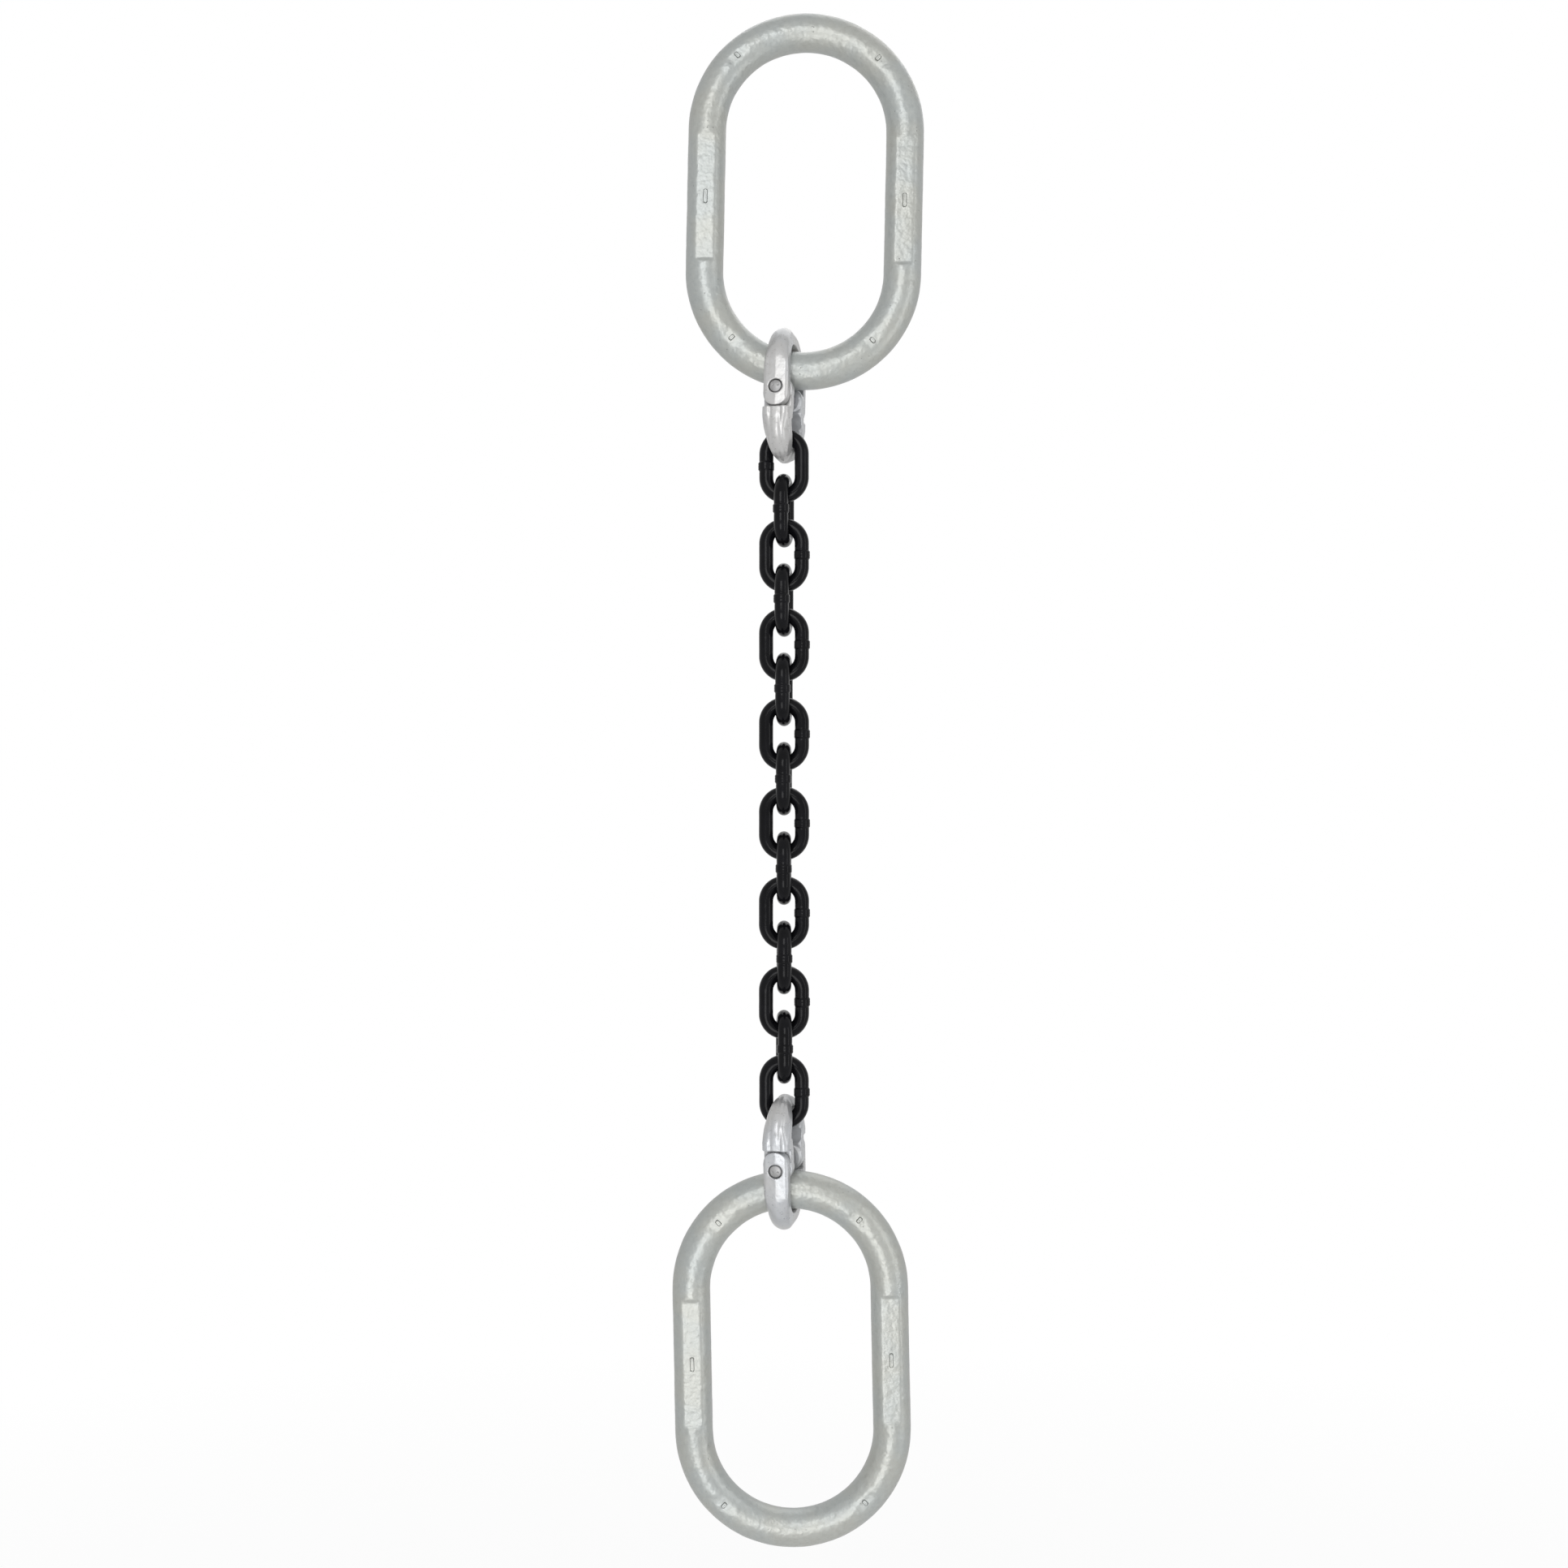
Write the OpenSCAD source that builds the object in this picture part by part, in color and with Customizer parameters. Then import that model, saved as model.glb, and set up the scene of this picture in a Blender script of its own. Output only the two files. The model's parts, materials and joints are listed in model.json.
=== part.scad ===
// Single-leg chain sling: an oblong master link at each end, a two-part coupling
// link on each, and fifteen welded chain links between them.
// Millimetres. The sling hangs straight down from its hook seat, which is the origin:
// the lowest point of a hook's bearing inside the upper master link's top crown.
// +Z is up, the upper master link's face looks along -Y, and the chain hangs along -Z.

/* [Master links] */
// Thickness of the round bar
bar_d = 19.05; // [16:0.05:21]
// Length of the opening
opening_len = 152.4; // [130:0.1:200]
// Width of the opening, which is the inner diameter of both crowns
opening_w = 81.3; // [70:0.1:100]
// Depth of the pressed flats on the front and back of both side bars
flat_depth = 1.2; // [0.6:0.1:2]
// Length of those flats
flat_len = 64; // [40:1:70]
// Depth of the small pads on the crowns
pad_depth = 0.5; // [0.3:0.1:1]
// Length of a pad along the bar
pad_len = 10.7; // [6:0.1:14]
// Angle of the pads from the side bars
pad_angle = 45; // [35:1:55]
// Length of the plain raised dash on each front flat
dash_len = 7.5; // [4:0.5:12]
// Width of the dashes and of the ticks on the pads
dash_w = 1.3; // [0.8:0.1:2]
// Height of the dashes and ticks above their flat or pad
dash_rise = 0.4; // [0.2:0.1:0.6]

/* [Chain] */
// Number of links
link_count = 15; // [7:2:15]
// Thickness of the wire
wire_d = 7.2; // [6.6:0.1:7.6]
// Length of a link's opening
link_len = 22.9; // [21.5:0.1:28]
// Width of a link's opening
link_w = 11; // [11:0.1:12]
// Thickness of the weld at the middle of one leg
weld_d = 8.4; // [7.8:0.1:9]
// Length of the weld along the leg
weld_len = 4; // [3:0.1:6]

/* [Coupling] */
// Length of the opening between the two crowns
coupling_len = 49.3; // [48:0.1:56]
// Radius of the opening at the crown that carries the master link's bar
throat_r = 11.7; // [11.6:0.1:12.6]
// Radius of the opening at the crown that carries the chain
crown_r = 10.5; // [10.4:0.1:12]
// Thickness of the crown that carries the master link's bar
top_crown_t = 9.9; // [9:0.1:12]
// Thickness of the crown that carries the chain
low_crown_t = 9.7; // [8:0.1:9.8]
// Gap between the inner half's two eyes
eye_gap = 15; // [14.5:0.1:18]
// Thickness of each of those eyes
eye_t = 6.8; // [5:0.1:8]
// Radius of those eyes
eye_r = 7.2; // [6.6:0.1:7.6]
// Width of the flat rim that an eye's edge is bevelled back from
eye_bevel = 1; // [0.4:0.1:1.4]
// Thickness of the outer half's tongues, beside the eyes
tongue_t = 6.3; // [5:0.1:8]
// Width of a tongue
tongue_w = 12.9; // [12:0.1:14]
// How far a tongue reaches past the pin's axis
tongue_over = 9.7; // [8.5:0.1:11]
// Width of the inner half's legs where they start under the tongues
leg_w = 14; // [13:0.1:15]
// Radius that rounds the inside of the upper crown from side to side
crown_round = 10; // [9:0.5:10]
// Radius of the upper crown's top, seen from the front
crown_end_r = 5.2; // [5:0.1:6]
// Radius of the lower crown's bottom, seen from the front
bow_end_r = 5.6; // [5.2:0.1:6]
// Radius of the edges along the inner half's bow
bow_edge_r = 3; // [1:0.1:4]
// Depth of the flutes along the outside of the bow
flute_depth = 0.35; // [0.2:0.05:0.6]
// Distance of the flutes from the middle of the bow
flute_x = 2.5; // [1.5:0.1:3]
// Width of the bevels on the outer edges
bevel = 1.3; // [0.5:0.1:2]
// Height of the ridge down the middle of the outer faces
ridge = 0.5; // [0.2:0.1:1]

/* [Load pin] */
// Thickness of the pin
pin_d = 6.7; // [6:0.1:7.2]
// Thickness of its waist, which the sleeve grips
waist_d = 4.9; // [4:0.1:5.4]
// Outer diameter of the retaining sleeve
sleeve_d = 7.8; // [7.4:0.1:8.4]
// Width of the slot along the sleeve
sleeve_slot = 1.2; // [0.6:0.1:2]
// Gap around the pin in the tongues
tongue_bore_gap = 0.2; // [0.1:0.05:0.3]
// Gap around the pin in the eyes
eye_bore_gap = 0.1; // [0.05:0.05:0.3]
// Gap between the sleeve and what it sits against
sleeve_gap = 0.05; // [0.02:0.01:0.1]

/* [Clearances] */
// Gap left between surfaces that bear on each other under load
play = 0.3; // [0.2:0.05:0.5]
// Gap over the middle of the upper bar, whose slope brings it close to the crown's edge
upper_bar_gap = 1.5; // [1.4:0.05:1.8]
// Gap over the middle of the lower bar, which slopes less
lower_bar_gap = 0.75; // [0.7:0.05:1.2]
// Gap between the master link's bar and the sleeve under it
sleeve_clear = 0.5; // [0.4:0.05:1]

/* [How it hangs] */
// How far the upper coupling has slid along its master link's bar
upper_slip = 8.2; // [0:0.1:12]
// How far the lower coupling has slid along its master link's bar
lower_slip = 1.5; // [0:0.1:4]
// Lean of both master links, in degrees
master_lean = 1.15; // [0:0.05:2]
// Turn of both couplings about the chain's line, in degrees
coupling_turn = 13.5; // [8:0.5:14]
// Lean of the couplings, front leg up on the upper one, in degrees
coupling_lean = 6; // [0:0.5:8]
// Turn of an imagined link just above the first one, in degrees
first_turn = 12; // [8:0.5:14]
// How much less each link is turned than the one above it, in degrees
turn_step = 1.1; // [0:0.05:1.1]
// Turn of the last link, which follows the lower coupling, in degrees
last_turn = 10.5; // [10:0.5:12]

/* [Hidden] */
$fn = 72;
bar_r = bar_d / 2;
wire_r = wire_d / 2;
pin_r = pin_d / 2;
sleeve_r = sleeve_d / 2;

// Master link: radius of the bar's centreline round a crown
master_r = (opening_w + bar_d) / 2;
master_straight = opening_len - opening_w;
pad_chord = 2 * sqrt(pow(bar_r, 2) - pow(bar_r - pad_depth, 2));
// Share of a pad's width that its tick takes up
tick_share = 0.6;

// Chain link: radius of the wire's centreline round a crown
link_r = (link_w + wire_d) / 2;
link_straight = link_len - link_w;
link_pitch = link_len - play;
weld_swell = weld_d / 2 - wire_r;
// How far the weld stands above the wire at its ends
weld_step = 0.12;
weld_bow = (pow(weld_len / 2, 2) + pow(weld_swell - weld_step, 2)) / (2 * (weld_swell - weld_step));

// Coupling, in its own frame: origin at the centre of the upper crown's inner arc,
// loop in the YZ plane, master link's bar along X
bar_rise = throat_r - bar_r - upper_bar_gap;
pin_z = bar_rise - bar_r - sleeve_clear - sleeve_r;
low_arc_z = -(coupling_len - throat_r - crown_r);
top_z = throat_r + top_crown_t;
tongue_in_y = eye_gap / 2 + eye_t + play;
outer_y = tongue_in_y + tongue_t;
eye_top_z = pin_z + eye_r;
tongue_end_z = pin_z - tongue_over;
shelf_z = tongue_end_z - play;
eye_room = play + 0.1;
low_ring_r = crown_r + low_crown_t / 2;
low_section_z = low_arc_z - low_ring_r;
low_bottom_z = low_section_z - low_crown_t / 2;
// Height below the lower arc's centre at which the bow starts to taper
bow_taper_drop = 6;
// How far the crowns' round ends stand off them, so that they cut only the edges
end_relief = 0.15;
// Metal on the inside and the outside of the bow that its round opening cuts away
bow_spare = 0.5;
bow_over = 0.06;
bow_out_r = crown_r + low_crown_t + bow_over;
// Radii of the long arcs that taper the halves, seen from the front
outer_taper_r = 280;
bow_taper_r = 28.5;
// The upper crown is thicker than the legs, so its outer arc is centred above the inner one
arch_z = top_z - outer_y;
flute_r = 1.6;
pin_chamfer = 0.35;
pin_inset = 0.2;
dome = 0.25;
// The two punch marks on each end of the pin
punch_r = 0.45;
punch_x = 1.35;
punch_z = 0.3;
// How far the neck's inside starts below the eye's edge
neck_relief = 0.2;
// Extra half width of the throat's cut beyond the legs
side_spare = 0.5;
// How far a cut or a joined piece runs past the face it starts from
over = 1;
// Larger than any piece it cuts
big = 100;

// Where the pieces hang
function seat_z(slip) = -(opening_len - opening_w / 2) - sqrt(pow(master_r, 2) - pow(slip, 2));
bar_x = -upper_slip * cos(master_lean) + seat_z(upper_slip) * sin(master_lean);
bar_z = upper_slip * sin(master_lean) + seat_z(upper_slip) * cos(master_lean);
coupling_z = bar_z - bar_rise;
lean_shift = -low_arc_z * sin(coupling_lean);
chain_x = bar_x - lean_shift * sin(coupling_turn);
chain_y = -lean_shift * cos(coupling_turn);
first_z = coupling_z + low_arc_z * cos(coupling_lean) - (crown_r - wire_r - play) - wire_r - link_len / 2;
function link_z(i) = first_z - (i - 1) * link_pitch;
function link_turn(i) = i == link_count ? last_turn : first_turn - i * turn_step;
function is_face_on(i) = i % 2 == 1;
// The first link's weld is on its left leg, the other face-on links' on the right,
// and the edge-on links' on the front leg
function weld_side(i) = is_face_on(i) && i > 1 ? 1 : -1;
mid_z = (link_z(1) + link_z(link_count)) / 2;

function link_name(i) = str("chain_link_", i < 10 ? "0" : "", i);

silver_green = [0.60, 0.62, 0.60];
silver = [0.72, 0.73, 0.73];
black = [0.05, 0.05, 0.06];
steel = [0.62, 0.62, 0.64];

// A flat shape drawn as (y, z), made w thick along X
module along_x(w) rotate([90, 0, 90]) linear_extrude(w, center = true) children();

// A flat shape drawn as (x, z), made w thick along Y
module along_y(w) rotate([90, 0, 0]) linear_extrude(w, center = true) children();

// An oblong link in the XZ plane, centred on the origin
module oblong(crown_centreline_r, straight, d) {
    for (s = [-1, 1]) {
        translate([0, 0, s * straight / 2]) rotate([90, 0, 0]) rotate([0, 0, s > 0 ? 0 : 180])
            rotate_extrude(angle = 180) translate([crown_centreline_r, 0]) circle(d = d);
        translate([s * crown_centreline_r, 0, 0]) cylinder(d = d, h = straight, center = true);
    }
}

// Front or back flat of a side bar
module flat_cut(face) {
    for (s = [-1, 1])
        translate([s * master_r, face * (bar_r - flat_depth + bar_r), 0])
            cube([bar_d, bar_d, flat_len], center = true);
}

// Where a crown's pads are: at pad_angle up both ends of both crowns
module at_pads() {
    for (top = [0, 1], s = [0, 1])
        mirror([0, 0, top]) mirror([s, 0, 0])
            translate([0, 0, -master_straight / 2]) rotate([0, pad_angle, 0])
                translate([master_r, 0, 0]) children();
}

// A plain raised bar with round ends along Z, standing on a face that looks along -Y
module dash(len, base_y) {
    translate([0, base_y, 0]) rotate([90, 0, 0]) {
        translate([-dash_w / 2, -(len - dash_w) / 2, -dash_rise]) cube([dash_w, len - dash_w, 2 * dash_rise]);
        for (s = [-1, 1])
            translate([0, s * (len - dash_w) / 2, -dash_rise]) cylinder(d = dash_w, h = 2 * dash_rise, $fn = 24);
    }
}

// Master link with its hook seat at the origin, hanging down
module master_link() {
    color(silver_green) translate([0, 0, -opening_len / 2]) {
        difference() {
            oblong(master_r, master_straight, bar_d);
            flat_cut(-1);
            flat_cut(1);
            at_pads() translate([0, -(bar_r - pad_depth + bar_r), 0]) cube([bar_d, bar_d, pad_len], center = true);
        }
        for (s = [-1, 1]) translate([s * master_r, 0, 0]) dash(dash_len, -(bar_r - flat_depth));
        at_pads() rotate([0, 90, 0]) dash(tick_share * pad_chord, -(bar_r - pad_depth));
    }
}

// Chain link in the XZ plane, with its weld on the leg at side * X
module chain_link_body(side) {
    oblong(link_r, link_straight, wire_d);
    translate([side * link_r, 0, 0]) rotate_extrude() intersection() {
        translate([0, -weld_len / 2]) square([weld_d / 2, weld_len]);
        translate([weld_d / 2 - weld_bow, 0]) circle(r = weld_bow);
    }
}

// The opening of the upper crown: an arch over a straight throat, waisted so that
// the metal round it is rounded from side to side
module throat() {
    depth = over - tongue_end_z;
    half_w = leg_w / 2 + side_spare;
    flare = crown_round - sqrt(pow(crown_round, 2) - pow(half_w, 2));
    rotate([0, 90, 0]) rotate_extrude() difference() {
        translate([0, -half_w]) square([throat_r + flare, 2 * half_w]);
        translate([throat_r + crown_round, 0]) circle(r = crown_round);
    }
    translate([0, 0, -depth]) linear_extrude(depth) difference() {
        square([2 * half_w, 2 * (throat_r + flare)], center = true);
        for (s = [-1, 1]) translate([0, s * (throat_r + crown_round)]) circle(r = crown_round);
    }
}

// The outer faces seen from above: a ridge down the middle and a bevel on each edge
module ridged_plan() {
    polygon([
        for (s = [-1, 1]) each [
            [-s * tongue_w / 2, s * (outer_y - ridge - bevel)],
            [s * (bevel - tongue_w / 2), s * (outer_y - ridge)],
            [0, s * outer_y],
            [s * (tongue_w / 2 - bevel), s * (outer_y - ridge)],
            [s * tongue_w / 2, s * (outer_y - ridge - bevel)]
        ]
    ]);
}

// A front view between two long arcs of radius r, 2 * half_w wide at height z
module lens(half_w, r, z) {
    intersection() {
        translate([half_w - r, z]) circle(r = r, $fn = 180);
        translate([r - half_w, z]) circle(r = r, $fn = 180);
    }
}

// A strip as wide as 2 * half_w with a round end of radius r about z, pointing along side * Z
module round_ended(half_w, r, z, side) {
    translate([0, z]) circle(r = r);
    translate([-half_w, side > 0 ? z - big : z]) square([2 * half_w, big]);
}

// The outer half seen from the front: widest at the pin, with round ends
module outer_front() {
    intersection() {
        lens(tongue_w / 2, outer_taper_r, pin_z);
        round_ended(tongue_w / 2, crown_end_r, top_z + end_relief - crown_end_r, 1);
        round_ended(tongue_w / 2, tongue_w / 2, tongue_end_z + tongue_w / 2, -1);
    }
}

// Outer half: the clevis that hangs over the master link's bar
module outer_half() {
    color(silver) difference() {
        intersection() {
            union() {
                translate([0, 0, arch_z]) rotate([90, 0, 90]) rotate_extrude(angle = 180)
                    intersection() {
                        rotate(-90) ridged_plan();
                        translate([0, -tongue_w / 2]) square([outer_y, tongue_w]);
                    }
                translate([0, 0, tongue_end_z]) linear_extrude(arch_z - tongue_end_z) ridged_plan();
            }
            along_y(big) outer_front();
        }
        throat();
        translate([-leg_w, -tongue_in_y, tongue_end_z - over])
            cube([2 * leg_w, 2 * tongue_in_y, eye_top_z + eye_room - tongue_end_z + over]);
        translate([0, 0, pin_z]) rotate([90, 0, 0])
            cylinder(r = pin_r + tongue_bore_gap, h = big, center = true);
    }
}

// One eye of the inner half, on the +Y side, bevelled on its inner edge
module eye() {
    translate([0, eye_gap / 2, pin_z]) rotate([-90, 0, 0]) {
        cylinder(r1 = eye_r - eye_bevel, r2 = eye_r, h = eye_bevel);
        translate([0, 0, eye_bevel]) cylinder(r = eye_r, h = eye_t - eye_bevel);
    }
}

// The neck that joins an eye to the bow, seen from the side
module neck_side() {
    in_y = eye_gap / 2;
    polygon([
        [in_y + 2 * eye_bevel, pin_z],
        [in_y + eye_t, pin_z],
        [in_y + eye_t, shelf_z],
        [crown_r + low_crown_t / 2, shelf_z],
        [crown_r + low_crown_t / 2, low_arc_z],
        [crown_r - bow_spare, low_arc_z - over],
        [in_y, shelf_z + over],
        [in_y, pin_z - eye_r - neck_relief]
    ]);
}

// The same neck seen from above, bevelled on its inner edges
module neck_plan() {
    in_y = eye_gap / 2;
    polygon([
        [-leg_w / 2, crown_r + low_crown_t / 2],
        [-leg_w / 2, in_y + bevel],
        [bevel - leg_w / 2, in_y],
        [leg_w / 2 - bevel, in_y],
        [leg_w / 2, in_y + bevel],
        [leg_w / 2, crown_r + low_crown_t / 2]
    ]);
}

// Section of the bow, X outwards from the arc's centre: rounded edges, leg_w wide
module bow_section() {
    t = bow_out_r - crown_r + bow_spare;
    translate([bow_out_r - t / 2, 0]) {
        square([t, leg_w - 2 * bow_edge_r], center = true);
        square([t - 2 * bow_edge_r, leg_w], center = true);
        for (i = [-1, 1], j = [-1, 1])
            translate([i * (t / 2 - bow_edge_r), j * (leg_w / 2 - bow_edge_r)]) circle(r = bow_edge_r);
    }
}

// Turns a revolve's half circle into the lower half of the YZ plane
module below() rotate([0, 90, 0]) rotate([0, 0, -90]) children();

// The bow: its section bent round the lower arc, and run straight up to the shelves
module bow() {
    translate([0, 0, low_arc_z]) {
        below() rotate_extrude(angle = 180) bow_section();
        for (s = [0, 1]) mirror([0, s, 0]) linear_extrude(shelf_z - low_arc_z) rotate(90) bow_section();
    }
}

// One flute along the outside of the bow
module flute() {
    r = bow_out_r + flute_r - flute_depth;
    below() rotate_extrude(angle = 180) translate([r, 0]) circle(r = flute_r, $fn = 32);
    for (s = [-1, 1]) translate([0, s * r, 0]) cylinder(r = flute_r, h = big, $fn = 32);
}

// Inner half: the bow that carries the chain, with its two eyes inside the tongues
module inner_half() {
    color(silver) difference() {
        intersection() {
            union() {
                bow();
                for (s = [0, 1]) mirror([0, s, 0]) {
                    eye();
                    intersection() {
                        along_x(leg_w) neck_side();
                        translate([0, 0, -big / 2]) linear_extrude(big) neck_plan();
                    }
                }
            }
            along_y(big) round_ended(leg_w, bow_end_r, low_bottom_z - end_relief + bow_end_r, -1);
            along_y(big) union() {
                translate([-leg_w, low_arc_z - bow_taper_drop]) square([2 * leg_w, big]);
                lens(leg_w / 2, bow_taper_r, low_arc_z - bow_taper_drop);
            }
        }
        // The round opening, curled round the crown so that a chain link can swing on it
        translate([0, 0, low_section_z]) rotate([90, 0, 0]) rotate_extrude()
            translate([low_ring_r, 0]) circle(r = crown_r);
        translate([0, 0, low_arc_z]) for (s = [-1, 1]) translate([s * flute_x, 0, 0]) flute();
        translate([0, 0, pin_z]) rotate([90, 0, 0])
            cylinder(r = pin_r + eye_bore_gap, h = big, center = true);
    }
}

// Load pin along Y, with a waist for the sleeve and domed ends
module load_pin() {
    half = outer_y - pin_inset;
    dome_r = (pow(pin_r - pin_chamfer, 2) + pow(dome, 2)) / (2 * dome);
    waist_half = eye_gap / 2 - play / 2;
    color(steel) translate([0, 0, pin_z]) rotate([90, 0, 0]) difference() {
        rotate_extrude() {
            translate([0, -waist_half - over]) square([waist_d / 2, 2 * (waist_half + over)]);
            for (s = [0, 1]) mirror([0, s]) intersection() {
                polygon([
                    [0, waist_half],
                    [pin_r, waist_half],
                    [pin_r, half - dome - pin_chamfer],
                    [pin_r - pin_chamfer, half - dome],
                    [pin_r - pin_chamfer, half],
                    [0, half]
                ]);
                translate([0, half - dome_r]) circle(r = dome_r);
            }
        }
        for (s = [-1, 1]) translate([s * punch_x, punch_z, half]) sphere(r = punch_r, $fn = 24);
    }
}

// Retaining sleeve: a slotted spring sleeve on the pin's waist, between the eyes
module sleeve() {
    len = eye_gap - 2 * play;
    color(steel) translate([0, 0, pin_z]) rotate([90, 0, 0]) difference() {
        cylinder(r = sleeve_r, h = len, center = true);
        cylinder(r = waist_d / 2 + sleeve_gap, h = len + 2 * over, center = true);
        translate([-sleeve_slot / 2, -sleeve_r - over, -len / 2 - over])
            cube([sleeve_slot, sleeve_r + over, len + 2 * over]);
    }
}

// Puts a piece of the coupling where the upper coupling hangs
module at_upper_coupling() {
    translate([bar_x, 0, coupling_z]) rotate([0, 0, -coupling_turn]) rotate([-coupling_lean, 0, 0]) children();
}

// Puts a master link so that its bar passes through the upper coupling, raised by
// this much towards its crown
module at_upper_bar(slip, raised) {
    translate([bar_x, 0, bar_z + raised]) rotate([0, master_lean, 0]) translate([slip, 0, -seat_z(slip)]) children();
}

// The lower end is laid out as the upper end's mirror image
module at_lower_end() translate([0, 0, 2 * mid_z]) mirror([0, 0, 1]) children();

module upper_master_link() at_upper_bar(upper_slip, 0) master_link();

module upper_coupling_outer() at_upper_coupling() outer_half();

module upper_coupling_inner() at_upper_coupling() inner_half();

module upper_load_pin() at_upper_coupling() load_pin();

module upper_sleeve() at_upper_coupling() sleeve();

module chain_link(i) {
    color(black) translate([chain_x, chain_y, link_z(i)])
        rotate([0, 0, -link_turn(i) + (is_face_on(i) ? 0 : 90)]) chain_link_body(weld_side(i));
}

module lower_coupling_inner() at_lower_end() at_upper_coupling() inner_half();

module lower_coupling_outer() at_lower_end() at_upper_coupling() outer_half();

module lower_load_pin() at_lower_end() at_upper_coupling() load_pin();

module lower_sleeve() at_lower_end() at_upper_coupling() sleeve();

module lower_master_link() at_lower_end() at_upper_bar(lower_slip, upper_bar_gap - lower_bar_gap) master_link();

upper_master_link();
upper_coupling_outer();
upper_coupling_inner();
upper_load_pin();
upper_sleeve();
for (i = [1:link_count]) chain_link(i);
lower_coupling_inner();
lower_coupling_outer();
lower_load_pin();
lower_sleeve();
lower_master_link();
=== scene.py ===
"""Looks for a single-leg chain sling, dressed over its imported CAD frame.

The master links, the welded chain links, the coupling halves and the load pins
are modelled here; the sleeves keep their CAD shape.
"""

import json
import math

import bmesh
import bpy
from bpy.props import FloatProperty, FloatVectorProperty, IntProperty, PointerProperty
from mathutils import Matrix, Vector, noise


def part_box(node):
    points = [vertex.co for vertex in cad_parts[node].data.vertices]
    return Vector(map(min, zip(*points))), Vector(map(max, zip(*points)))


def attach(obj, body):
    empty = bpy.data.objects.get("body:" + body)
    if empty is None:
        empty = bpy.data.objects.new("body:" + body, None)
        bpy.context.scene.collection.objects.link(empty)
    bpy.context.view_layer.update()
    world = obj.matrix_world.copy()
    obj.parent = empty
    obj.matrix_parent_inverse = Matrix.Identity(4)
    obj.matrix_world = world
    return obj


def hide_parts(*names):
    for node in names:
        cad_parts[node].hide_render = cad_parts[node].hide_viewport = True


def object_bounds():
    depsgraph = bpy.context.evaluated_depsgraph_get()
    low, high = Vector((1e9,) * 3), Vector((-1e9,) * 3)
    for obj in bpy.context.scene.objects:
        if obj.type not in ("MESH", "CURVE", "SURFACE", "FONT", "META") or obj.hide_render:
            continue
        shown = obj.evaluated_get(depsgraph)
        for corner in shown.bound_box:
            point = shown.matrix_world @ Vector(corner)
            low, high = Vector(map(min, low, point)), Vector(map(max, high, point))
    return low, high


bl_info = {
    "name": "Chain sling",
    "version": (1, 0, 0),
    "blender": (4, 5, 0),
    "location": "View3D > Sidebar > Chain sling",
    "description": "Builds the links, couplings and finishes of a single-leg chain sling",
    "category": "Object",
}

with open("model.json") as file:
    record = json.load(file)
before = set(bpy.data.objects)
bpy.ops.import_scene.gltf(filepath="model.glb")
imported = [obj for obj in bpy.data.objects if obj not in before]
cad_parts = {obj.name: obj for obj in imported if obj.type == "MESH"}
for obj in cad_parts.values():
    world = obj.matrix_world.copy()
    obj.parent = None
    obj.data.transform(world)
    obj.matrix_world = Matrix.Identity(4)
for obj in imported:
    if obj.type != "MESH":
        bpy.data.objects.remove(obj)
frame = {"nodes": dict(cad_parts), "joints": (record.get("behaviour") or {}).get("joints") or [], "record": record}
CAD_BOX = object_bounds()
MM = 0.001
ENDS = ("upper", "lower")
PIN_JOINTS = {"upper": "upper_bow_on_pin", "lower": "lower_clevis_on_pin"}


def length(name, about, default, low=0.0, high=1.0):
    """A length that the user can change, in metres."""
    return FloatProperty(name=name, description=about, default=default, min=low, max=high,
                         subtype="DISTANCE", unit="LENGTH", precision=5)


def colour(name, about, default):
    """A colour that the user can change."""
    return FloatVectorProperty(name=name, description=about, default=default, min=0.0, max=1.0,
                               size=3, subtype="COLOR")


class SLING_PG_master(bpy.types.PropertyGroup):
    """Sizes of the two oblong master links"""
    bar: length("Bar", "Thickness of the round bar", 19.05 * MM)
    opening_length: length("Opening length", "Length of the opening", 152.4 * MM)
    opening_width: length("Opening width", "Width of the opening", 81.3 * MM)
    lean: FloatProperty(name="Lean", description="Lean of both links as they hang",
                        default=math.radians(1.15), subtype="ANGLE", unit="ROTATION")
    flat_depth: length("Flat depth", "Depth of the pressed flats", 1.2 * MM)
    flat_length: length("Flat length", "Length of the pressed flats", 64 * MM)
    pad_depth: length("Pad depth", "Depth of the pads on the crowns", 0.5 * MM)
    pad_length: length("Pad length", "Length of a pad along the bar", 10.7 * MM)
    dash_length: length("Dash length", "Length of the plain raised dashes", 7.5 * MM)
    dash_width: length("Dash width", "Width of the dashes and ticks at their foot", 2.4 * MM)
    dash_rise: length("Dash rise", "Height of the dashes and ticks", 0.65 * MM)
    waviness: length("Waviness", "How uneven the forged skin is", 0.16 * MM)


class SLING_PG_chain(bpy.types.PropertyGroup):
    """Sizes of the chain links"""
    wire: length("Wire", "Thickness of the wire", 7.2 * MM)
    link_length: length("Link length", "Length of a link's opening", 22.9 * MM)
    link_width: length("Link width", "Width of a link's opening", 11 * MM)
    weld: length("Weld", "Thickness of the weld", 8.4 * MM)
    weld_length: length("Weld length", "Length of the weld", 4 * MM)
    weld_inside: FloatProperty(name="Weld inside", description="Share of the weld's height inwards",
                               default=0.7, min=0.0, max=1.0)
    waviness: length("Waviness", "How uneven the wire is", 0.025 * MM)


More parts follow.
